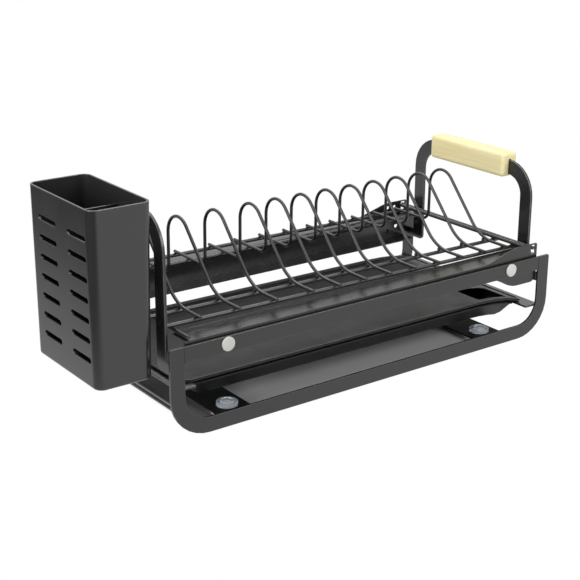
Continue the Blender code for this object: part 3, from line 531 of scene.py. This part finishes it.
def cut_away(piece, cutters):
    """Cuts several shapes, joined into one, out of a piece."""
    deselect_all()
    for cutter in cutters:
        cutter.select_set(True)
    bpy.context.view_layer.objects.active = cutters[0]
    if len(cutters) > 1:
        bpy.ops.object.join()
    joined = bpy.context.object
    apply_modifier(piece, "BOOLEAN", operation="DIFFERENCE", object=joined, solver="EXACT")
    bpy.data.objects.remove(joined, do_unlink=True)


def cutlery_holder(material):
    """The moulded shell: leaning inner wall, round corners, an even wall and two columns of slots."""
    low, high = holder_box()
    shell = box_between("cutlery_holder_shell", low, high)
    edit(shell)
    middle = (low + high) / 2
    select_edges(shell, lambda a, b: a.z < middle.z and b.z < middle.z and a.x > middle.x and b.x > middle.x)
    bpy.ops.transform.translate(value=(-HOLDER_TAPER * MM, 0, 0))
    select_edges(shell, lambda a, b: abs(a.z - b.z) > (high.z - low.z) / 2)
    bpy.ops.mesh.bevel(offset=HOLDER_ROUND * MM, segments=HOLDER_ROUND_STEPS, affect="EDGES")
    select_faces(shell, lambda face: face.normal.z < -FACING)
    bpy.ops.mesh.region_to_loop()
    bpy.ops.mesh.bevel(offset=HOLDER_BOTTOM_ROUND * MM, segments=HOLDER_BOTTOM_STEPS, affect="EDGES")
    select_faces(shell, lambda face: face.normal.z > FACING)
    bpy.ops.mesh.delete(type="ONLY_FACE")
    close_edit()
    apply_modifier(shell, "SOLIDIFY", thickness=HOLDER_WALL * MM, offset=-1.0, use_even_offset=True)
    columns = (low.y + SLOT_FRONT_INSET * MM, high.y - SLOT_BACK_INSET * MM)
    cutters = []
    for y in columns:
        for row in range(SLOT_ROWS):
            centre = Vector((low.x, y, high.z - (SLOT_DROP + row * SLOT_PITCH) * MM))
            cutters.append(slot_cutter("slot", centre, SLOT_LENGTH, SLOT_HEIGHT, CUT_DEPTH))
        half = Vector((FLOOR_SLOT_LENGTH, FLOOR_SLOT_WIDTH, CUT_DEPTH)) * MM / 2
        centre = Vector((middle.x, y, low.z))
        cutters.append(box_between("floor_slot", centre - half, centre + half))
    cut_away(shell, cutters)
    round_edges(shell, HOLDER_EDGE, angle=HOLDER_EDGE_ANGLE)
    dress(shell, material, "holder", "grey_plastic", "cutlery_holder")
    for inset, side in ((HOOK_FRONT_INSET, "front"), (HOLDER_LENGTH - HOOK_REAR_INSET, "rear")):
        holder_hook(side, low.y + inset * MM, high.x, material)


def holder_hook(side, y, wall_x, material):
    """A hook over the left handle: an arm from the wall, its tip folded down behind the bar."""
    bar_high = size_of("handle_left")[1]
    half = HOOK_WIDTH * MM / 2
    under = bar_high.z + PLAY * MM
    inside = bar_high.x + PLAY * MM
    reach = inside + HOOK_SHEET * MM
    arm = box_between(
        "cutlery_holder_hook_" + side, (wall_x - HOLDER_WALL * MM / 2, y - half, under),
        (reach, y + half, under + HOOK_SHEET * MM))
    edit(arm)
    for cut in (inside, wall_x + HOOK_GUSSET * MM):
        bpy.ops.mesh.select_all(action="SELECT")
        bpy.ops.mesh.bisect(plane_co=(cut, 0, 0), plane_no=(1, 0, 0))
    select_faces(arm, lambda face: face.normal.z < -FACING and face.center.x > inside)
    bpy.ops.mesh.extrude_region_move(TRANSFORM_OT_translate={"value": (0, 0, -HOOK_DROP * MM)})
    select_faces(arm, lambda face: face.normal.z < -FACING and face.center.x < wall_x + HOOK_GUSSET * MM)
    bpy.ops.mesh.extrude_region_move(TRANSFORM_OT_translate={"value": (0, 0, -HOOK_GUSSET * MM)})
    low_level = under - HOOK_GUSSET * MM / 2
    first_x, last_x = wall_x + HOOK_GUSSET * MM / 2, inside - NEAR * MM
    select_edges(arm, lambda a, b: max(a.z, b.z) < low_level and abs(a.x - b.x) < NEAR * MM
                 and first_x < a.x < last_x)
    bpy.ops.transform.translate(value=(-(HOOK_GUSSET - HOLDER_WALL) * MM, 0, 0))
    close_edit()
    round_edges(arm, HOLDER_EDGE)
    dress(arm, material, "holder", "grey_plastic")


def wooden_grip(material):
    """A block with soft edges, its length along Y, mortised for the flat bar at both ends."""
    low, high = size_of("grip")
    block = box_between("grip_block", low, high)
    edit(block)
    bpy.ops.mesh.select_all(action="SELECT")
    bpy.ops.mesh.bevel(offset=GRIP_ROUND * MM, segments=GRIP_STEPS, profile=GRIP_PROFILE, affect="EDGES")
    close_edit()
    bar_low, bar_high = size_of("handle_right")
    middle = (low + high) / 2
    x = (bar_low.x + bar_high.x) / 2
    half_x, half_z = MORTISE_WIDTH * MM / 2, MORTISE_HEIGHT * MM / 2
    z = bar_high.z - (MORTISE_HEIGHT - 2 * PLAY) * MM / 2
    reach = (high.y - low.y) / 2 + 2 * GRIP_ROUND * MM
    cutter = box_between(
        "mortise", (x - half_x, middle.y - reach, z - half_z), (x + half_x, middle.y + reach, z + half_z))
    cut_away(block, [cutter])
    round_edges(block, SHEET_EDGE, angle=GRIP_EDGE_ANGLE)
    dress(block, material, "extension", "pale_wood", "grip")


def disc(name, centre, radius, height):
    """A cylinder primitive at its size and place, its axis along Z."""
    deselect_all()
    bpy.ops.mesh.primitive_cylinder_add(vertices=TURN_SIDES, radius=radius, depth=height, location=centre)
    return settle(bpy.context.object, name)


def step_faces(steps):
    """Insets the selected face and moves it, once for each (inset, rise) in millimetres."""
    for inset, rise in steps:
        if inset:
            bpy.ops.mesh.inset(thickness=inset * MM)
            bpy.ops.transform.translate(value=(0, 0, rise * MM))
        else:
            bpy.ops.mesh.extrude_region_move(TRANSFORM_OT_translate={"value": (0, 0, rise * MM)})


def selected_corners(piece):
    """The corners selected in edit mode."""
    piece.update_from_editmode()
    return [corner for corner in piece.data.vertices if corner.select]


def suction_feet(material):
    """A stepped head over a stem and a thin cup, made once and copied to the four places."""
    low, high = size_of("suction_foot_front_left")
    centre = (low + high) / 2
    bar_low, bar_high = size_of("foot_bar_left")
    head_low = bar_high.z + PLAY * MM
    cup_radius = (high.x - low.x) / 2
    head_height = high.z - head_low
    head_middle = (centre.x, centre.y, head_low + HEAD_SIDE_SHARE * head_height / 2)
    body = disc("suction_foot_pattern", head_middle, HEAD_RADIUS * MM, HEAD_SIDE_SHARE * head_height)
    edit(body)
    select_faces(body, lambda face: face.normal.z > FACING)
    step_faces(HEAD_STEPS)
    select_faces(body, lambda face: face.normal.z < -FACING)
    step_faces(((HEAD_RADIUS - STEM_RADIUS, 0.0), (0.0, (bar_low.z - head_low) / MM - PLAY)))
    neck = bar_low.z - PLAY * MM
    for radius_share, drop_share in CUP_SHARES:
        drop = drop_share * (neck - low.z)
        bpy.ops.mesh.extrude_region_move(TRANSFORM_OT_translate={"value": (0, 0, -drop)})
        now = max((Vector(corner.co.xy) - centre.xy).length for corner in selected_corners(body))
        grow = radius_share * cup_radius / now
        bpy.ops.transform.resize(value=(grow, grow, 1), center_override=centre)
    step_faces(HOLLOW_STEPS)
    close_edit()
    round_edges(body, FOOT_EDGE, angle=FOOT_EDGE_ANGLE)
    for side in SIDES:
        for end in ENDS:
            node = "suction_foot_" + side + "_" + end
            node_low, node_high = size_of(node)
            piece = copied(body, node + "_cup")
            piece.data.transform(Matrix.Translation((node_low + node_high) / 2 - centre))
            dress(piece, material, BODY_OF[node], SLOT_OF[node], node)
    bpy.data.objects.remove(body, do_unlink=True)


def caps(material):
    """Four pressed caps: a low dome with a rounded rim on the outer face, and its shank behind."""
    for side in SIDES:
        for end in ENDS:
            node = "cap_" + side + "_" + end
            low, high = size_of(node)
            radius = (high.x - low.x) / 2
            outward = -1 if side == "front" else 1
            outer = low.y if side == "front" else high.y
            inner = high.y if side == "front" else low.y
            thickness = CAP_THICKNESS * MM
            centre = Vector(((low.x + high.x) / 2, 0, (low.z + high.z) / 2))
            dome = disc(node + "_dome", (0, 0, -thickness / 2), radius, thickness)
            edit(dome)
            select_faces(dome, lambda face: face.normal.z > FACING)
            step_faces([(CAP_EDGE * 2, CAP_CROWN / CROWN_STEPS)] * CROWN_STEPS)
            select_faces(dome, lambda face: face.normal.z < -FACING)
            step_faces(((radius / MM - SHANK_RADIUS, 0.0), (0.0, -(abs(outer - inner) - thickness) / MM)))
            close_edit()
            turned = Matrix.Rotation(-outward * pi / 2, 4, "X")
            place = Matrix.Translation((centre.x, outer - outward * CAP_CROWN * MM, centre.z))
            dome.data.transform(place @ turned)
            round_edges(dome, CAP_EDGE / 2, angle=CAP_EDGE_ANGLE)
            dress(dome, material, BODY_OF[node], SLOT_OF[node], node)


def colour(code):
    """Turns an sRGB hex value into linear red, green, blue and one."""
    channels = [int(code[index:index + 2], 16) / 255 for index in (1, 3, 5)]
    return tuple(c / 12.92 if c <= 0.04045 else ((c + 0.055) / 1.055) ** 2.4 for c in channels) + (1.0,)


def add_node(tree, kind, links=(), settings=(), **sockets):
    """Adds a node, sets its properties and input sockets, and links (socket name, source socket) pairs."""
    node = tree.nodes.new(kind)
    for key, value in dict(settings).items():
        setattr(node, key, value)
    for key, value in sockets.items():
        node.inputs[key.replace("_", " ")].default_value = value
    for name, source in links:
        tree.links.new(source, node.inputs[name])
    return node


def new_material(name):
    material = bpy.data.materials.new(name)
    material.use_nodes = True
    tree = material.node_tree
    return material, tree, tree.nodes["Principled BSDF"]


def per_mm(size):
    """A noise scale whose features are about this many millimetres across."""
    return 1.0 / (size * MM)


def wander(tree, place, size, low, high, detail=2.0):
    """A value that wanders between two bounds, over patches of the given size."""
    noise = add_node(tree, "ShaderNodeTexNoise", [("Vector", place)], Scale=per_mm(size), Detail=detail)
    amount = add_node(
        tree, "ShaderNodeMapRange", [("Value", noise.outputs["Fac"])], From_Min=NOISE_LOW,
        From_Max=NOISE_HIGH, To_Min=low, To_Max=high)
    return amount.outputs["Result"]


def shaded(tree, code, amount):
    """A colour, made brighter or darker by the amount that a socket gives."""
    shade = add_node(tree, "ShaderNodeVectorMath", [("Scale", amount)], {"operation": "SCALE"})
    shade.inputs[0].default_value = colour(code)[:3]
    return shade.outputs["Vector"]


def bumps(tree, place, size, height):
    """A fine relief, from the size of its grain and its height."""
    noise = add_node(tree, "ShaderNodeTexNoise", [("Vector", place)], Scale=per_mm(size), Detail=2.0)
    bump = add_node(
        tree, "ShaderNodeBump", [("Height", noise.outputs["Fac"])], Strength=1.0, Distance=height * MM)
    return bump.outputs["Normal"]


def skin(name, shade, rough, grain, **sockets):
    """A material whose colour, roughness and fine relief wander a little, as real ones do. shade is a hex
    value, a patch size and the lowest and highest brightness, rough a patch size and the lowest and highest
    roughness, and grain its size and height."""
    material, tree, shader = new_material(name)
    place = add_node(tree, "ShaderNodeTexCoord").outputs["Object"]
    code, *patches = shade
    tint = shaded(tree, code, wander(tree, place, *patches, detail=3.0))
    tree.links.new(tint, shader.inputs["Base Color"])
    tree.links.new(wander(tree, place, *rough), shader.inputs["Roughness"])
    tree.links.new(bumps(tree, place, *grain), shader.inputs["Normal"])
    for key, value in sockets.items():
        shader.inputs[key.replace("_", " ")].default_value = value
    return material


def powder_coated_steel():
    """Mild steel with a baked black polyester powder. It flows out to a satin skin with a faint orange peel,
    which breaks up reflections. The real peel of about 2 mm is drawn at that size."""
    return skin(
        "powder_coated_steel", shade=("#1d1d1c", 60.0, 0.9, 1.1), rough=(25.0, 0.22, 0.30),
        grain=(2.2, 0.02), IOR=1.6)


def painted_edge_highlight():
    """A paler colour for the rounded edges. It is mostly a painted highlight, which draws each edge as a fine
    pale line where light would catch it, and partly the thin coat that molten powder leaves at a cut edge."""
    return skin(
        "painted_highlight_edge", shade=("#5a5a57", 9.0, 0.75, 1.25), rough=(9.0, 0.26, 0.36),
        grain=(2.2, 0.02), IOR=1.6)


def powder_coated_sheet():
    """The drawer's sheet has a fine-textured black coat that hides water marks. Its tiny grains scatter the
    reflections, so it looks darker and duller than the bars. They are drawn 1 mm coarse so that they show."""
    return skin(
        "textured_powder_coat", shade=("#1b1b1a", 60.0, 0.9, 1.1), rough=(20.0, 0.40, 0.50),
        grain=(1.0, 0.02), IOR=1.5, Specular_IOR_Level=0.2)


def coated_wire():
    """Drawn steel wire with the same powder coating. It lies thinner and hardly shows its peel, and its sheen
    is a little duller than on the bars."""
    return skin(
        "powder_coated_wire", shade=("#1f1f1e", 40.0, 0.9, 1.1), rough=(12.0, 0.30, 0.38),
        grain=(3.0, 0.003), IOR=1.6)


def moulded_grey_abs():
    """Injection-moulded ABS from a spark-eroded tool: an even dark grey with a very fine grain that softens
    its reflections. The grain of about 0.1 mm is drawn 0.8 mm coarse so that it shows."""
    return skin(
        "moulded_grey_abs", shade=("#2c2c2c", 80.0, 0.96, 1.04), rough=(30.0, 0.19, 0.25),
        grain=(0.8, 0.010), IOR=1.6)


def black_nylon():
    """Moulded black nylon: near black, with a soft dull sheen from its slightly uneven skin."""
    return skin(
        "moulded_black_nylon", shade=("#0e0f10", 30.0, 0.9, 1.1), rough=(15.0, 0.55, 0.65),
        grain=(1.2, 0.012), IOR=1.53, Specular_IOR_Level=0.15)


def clear_pvc():
    """Soft clear PVC of suction feet: bluish where it is thick, smooth, and clouded by its plasticiser."""
    return skin(
        "clear_soft_pvc", shade=("#ecf3fa", 6.0, 0.92, 1.05), rough=(5.0, 0.06, 0.14), grain=(3.0, 0.05),
        IOR=1.53, Transmission_Weight=0.45)


def white_nylon():
    """Moulded warm white nylon of the caps: a satin skin with a trace of flow marks."""
    return skin(
        "moulded_white_nylon", shade=("#dadad3", 8.0, 0.96, 1.03), rough=(4.0, 0.34, 0.42),
        grain=(1.5, 0.01), IOR=1.53)


def pale_wood():
    """Sanded, bare pale wood, sawn along the grip: fine straight fibres run along Y, with faint growth
    bands, and the sanding leaves it matt with a light nap."""
    material, tree, shader = new_material("sanded_pale_wood")
    place = add_node(tree, "ShaderNodeTexCoord").outputs["Object"]
    band_place = add_node(tree, "ShaderNodeMapping", [("Vector", place)], Scale=BAND_SCALE)
    fibre_place = add_node(tree, "ShaderNodeMapping", [("Vector", place)], Scale=FIBRE_SCALE)
    bands = add_node(
        tree, "ShaderNodeTexNoise", [("Vector", band_place.outputs["Vector"])], Scale=per_mm(BAND_WIDTH),
        Detail=2.0, Distortion=0.4)
    fibres = add_node(
        tree, "ShaderNodeTexNoise", [("Vector", fibre_place.outputs["Vector"])], Scale=per_mm(FIBRE_WIDTH),
        Detail=3.0)
    mixed = add_node(
        tree, "ShaderNodeMath", [(0, bands.outputs["Fac"]), (1, fibres.outputs["Fac"])],
        {"operation": "ADD"})
    spread = add_node(
        tree, "ShaderNodeMapRange", [("Value", mixed.outputs["Value"])], From_Min=0.75, From_Max=1.25)
    ramp = add_node(tree, "ShaderNodeValToRGB", [("Fac", spread.outputs["Result"])])
    ramp.color_ramp.elements[0].color = colour("#f3e3a8")
    ramp.color_ramp.elements[1].color = colour("#faf0bf")
    tree.links.new(ramp.outputs["Color"], shader.inputs["Base Color"])
    bump = add_node(
        tree, "ShaderNodeBump", [("Height", fibres.outputs["Fac"])], Strength=1.0,
        Distance=FIBRE_HEIGHT * MM)
    tree.links.new(bump.outputs["Normal"], shader.inputs["Normal"])
    shader.inputs["Roughness"].default_value = 0.6
    shader.inputs["IOR"].default_value = 1.5
    return material


def seen_and_mirrored(tree):
    """Two sockets that are one for rays which see a surface straight or through a clear piece, and for
    those and the ones that see it mirrored."""
    path = add_node(tree, "ShaderNodeLightPath")
    seen = add_node(
        tree, "ShaderNodeMath",
        [(0, path.outputs["Is Camera Ray"]), (1, path.outputs["Is Transmission Ray"])],
        {"operation": "MAXIMUM"}).outputs["Value"]
    mirrored = add_node(
        tree, "ShaderNodeMath", [(0, seen), (1, path.outputs["Is Glossy Ray"])],
        {"operation": "MAXIMUM"}).outputs["Value"]
    return seen, mirrored


def outside_share(tree, place, low, high):
    """A socket that grows from zero to one where a place leaves the box on the table between two corners."""
    centre = (low + high) / 2
    offset = add_node(tree, "ShaderNodeVectorMath", [(0, place)], {"operation": "SUBTRACT"})
    offset.inputs[1].default_value = centre
    distance = add_node(
        tree, "ShaderNodeVectorMath", [(0, offset.outputs["Vector"])], {"operation": "ABSOLUTE"})
    beyond = add_node(
        tree, "ShaderNodeVectorMath", [(0, distance.outputs["Vector"])], {"operation": "SUBTRACT"})
    beyond.inputs[1].default_value = high - centre
    axes = add_node(tree, "ShaderNodeSeparateXYZ", [("Vector", beyond.outputs["Vector"])])
    furthest = add_node(
        tree, "ShaderNodeMath", [(0, axes.outputs["X"]), (1, axes.outputs["Y"])],
        {"operation": "MAXIMUM"})
    fade = add_node(
        tree, "ShaderNodeMapRange", [("Value", furthest.outputs["Value"])],
        {"interpolation_type": "SMOOTHSTEP"}, From_Min=SHADOW_FULL, From_Max=SHADOW_GONE, To_Min=0.0,
        To_Max=1.0)
    return fade.outputs["Result"]


def floor():
    """A pale table. The camera sees it fade to white away from the drainer, and its shadow stays under it.
    A deeper shadow is painted into its colour below the holder's end, darker to the left across the left
    foot bar. In reflections it grows dim to the left, where the real table ends."""
    low = Vector((size_of("bottom_rod")[0].x, size_of("side_frame_front")[0].y, 0))
    high = Vector((size_of("foot_bar_right")[1].x, size_of("side_frame_rear")[1].y, 0))
    foot_low, foot_high = size_of("foot_bar_left")
    centre = (low + high) / 2
    deselect_all()
    bpy.ops.mesh.primitive_plane_add(size=TABLE_SHEET, location=(centre.x, centre.y, -TABLE_DROP))
    plane = settle(bpy.context.object, "studio_floor")
    material, tree, shader = new_material("pale_studio_paper")
    place = add_node(tree, "ShaderNodeTexCoord").outputs["Object"]
    along = add_node(tree, "ShaderNodeSeparateXYZ", [("Vector", place)]).outputs["X"]
    # Painted shadow: the table's colour darkens to the left across the left foot bar and stays dark beyond
    # it, under the holder's end.
    depth = add_node(
        tree, "ShaderNodeMapRange", [("Value", along)], From_Min=foot_low.x, From_Max=foot_high.x,
        To_Min=PAINTED_SHADOW_LEVEL, To_Max=1.0)
    tree.links.new(shaded(tree, "#cfcfcf", depth.outputs["Result"]), shader.inputs["Base Color"])
    shader.inputs["Roughness"].default_value = 0.9
    shader.inputs["Specular IOR Level"].default_value = 0.1
    seen, mirrored = seen_and_mirrored(tree)
    share = add_node(
        tree, "ShaderNodeMath", [(0, mirrored), (1, outside_share(tree, place, low, high))],
        {"operation": "MULTIPLY"})
    near = add_node(
        tree, "ShaderNodeMapRange", [("Value", along)], From_Min=low.x - TABLE_END,
        From_Max=low.x - TABLE_NEAR, To_Min=TABLE_DIM, To_Max=1.0)
    level = add_node(
        tree, "ShaderNodeMath", [(0, seen), (1, near.outputs["Result"])], {"operation": "MAXIMUM"})
    white = add_node(tree, "ShaderNodeEmission", [("Strength", level.outputs["Value"])], Color=WHITE)
    mix = add_node(
        tree, "ShaderNodeMixShader",
        [("Fac", share.outputs["Value"]), (1, shader.outputs["BSDF"]), (2, white.outputs["Emission"])])
    tree.links.new(mix.outputs["Shader"], tree.nodes["Material Output"].inputs["Surface"])
    plane.data.materials.append(material)


def world_light():
    """White behind everything that is seen or mirrored, and a low even fill for the rest."""
    world = bpy.data.worlds.new("studio_white")
    world.use_nodes = True
    bpy.context.scene.world = world
    tree = world.node_tree
    background = tree.nodes["Background"]
    background.inputs["Color"].default_value = WHITE
    strength = add_node(
        tree, "ShaderNodeMapRange", [("Value", seen_and_mirrored(tree)[1])], To_Min=FILL_LIGHT, To_Max=1.0)
    tree.links.new(strength.outputs["Result"], background.inputs["Strength"])


def softboxes():
    for name, place, width, height, power in SOFTBOXES:
        light = bpy.data.lights.new(name, "AREA")
        light.shape = "RECTANGLE"
        light.size = width
        light.size_y = height
        light.energy = power
        lamp = bpy.data.objects.new(name, light)
        bpy.context.scene.collection.objects.link(lamp)
        lamp.location = place
        aim = Vector(LIT_POINT) - Vector(place)
        lamp.rotation_euler = aim.to_track_quat("-Z", "Y").to_euler()


def camera():
    """The photograph's own view, fitted to the front frame's outline."""
    forward, right = Vector(CAMERA_FORWARD), Vector(CAMERA_RIGHT)
    up = right.cross(forward)
    data = bpy.data.cameras.new("photo_camera")
    data.sensor_width = CAMERA_SENSOR
    data.lens = CAMERA_LENS
    data.shift_x, data.shift_y = CAMERA_SHIFT
    item = bpy.data.objects.new("photo_camera", data)
    bpy.context.scene.collection.objects.link(item)
    turn = Matrix((right, up, -forward)).transposed().to_4x4()
    item.matrix_world = Matrix.Translation(CAMERA_PLACE) @ turn
    bpy.context.scene.camera = item


def drainer():
    steel = powder_coated_steel()
    # The edge material paints a highlight: a paler colour on the rounded edges of the bars and sheet.
    edge = painted_edge_highlight()
    wire = coated_wire()
    grey = moulded_grey_abs()
    for side in SIDES:
        frame_piece = finished_copy("side_frame_" + side, BAR_EDGE, steel, edge)
        weld_seams(frame_piece, "side_frame_" + side)
        for stem in ("track_", "track_ledge_", "slide_rail_"):
            finished_copy(stem + side, SHEET_EDGE, steel, edge)
    black = black_nylon()
    for end in ENDS:
        finished_copy("runner_" + end, BAR_EDGE, steel, edge)
        finished_copy("handle_" + end, BAR_EDGE, steel, edge)
        finished_copy("foot_bar_" + end, SHEET_EDGE, black)
    sheet = powder_coated_sheet()
    finished_copy("drip_tray", SHEET_EDGE, sheet, edge)
    finished_copy("water_pan", SHEET_EDGE, sheet, edge, join_flats=False)
    finished_copy("holder_divider", HOLDER_EDGE, grey)
    for node in ("bottom_rod", *CROSS_WIRES, *nodes_named("long_wire_")):
        straight_wire(node, wire)
    path = hoops(wire)
    weld_spots(path, wire)
    cutlery_holder(grey)
    wooden_grip(pale_wood())
    suction_feet(clear_pvc())
    caps(white_nylon())


camera()
drainer()
floor()
world_light()
softboxes()
bpy.context.scene.view_settings.view_transform = "Standard"

deselect_all()
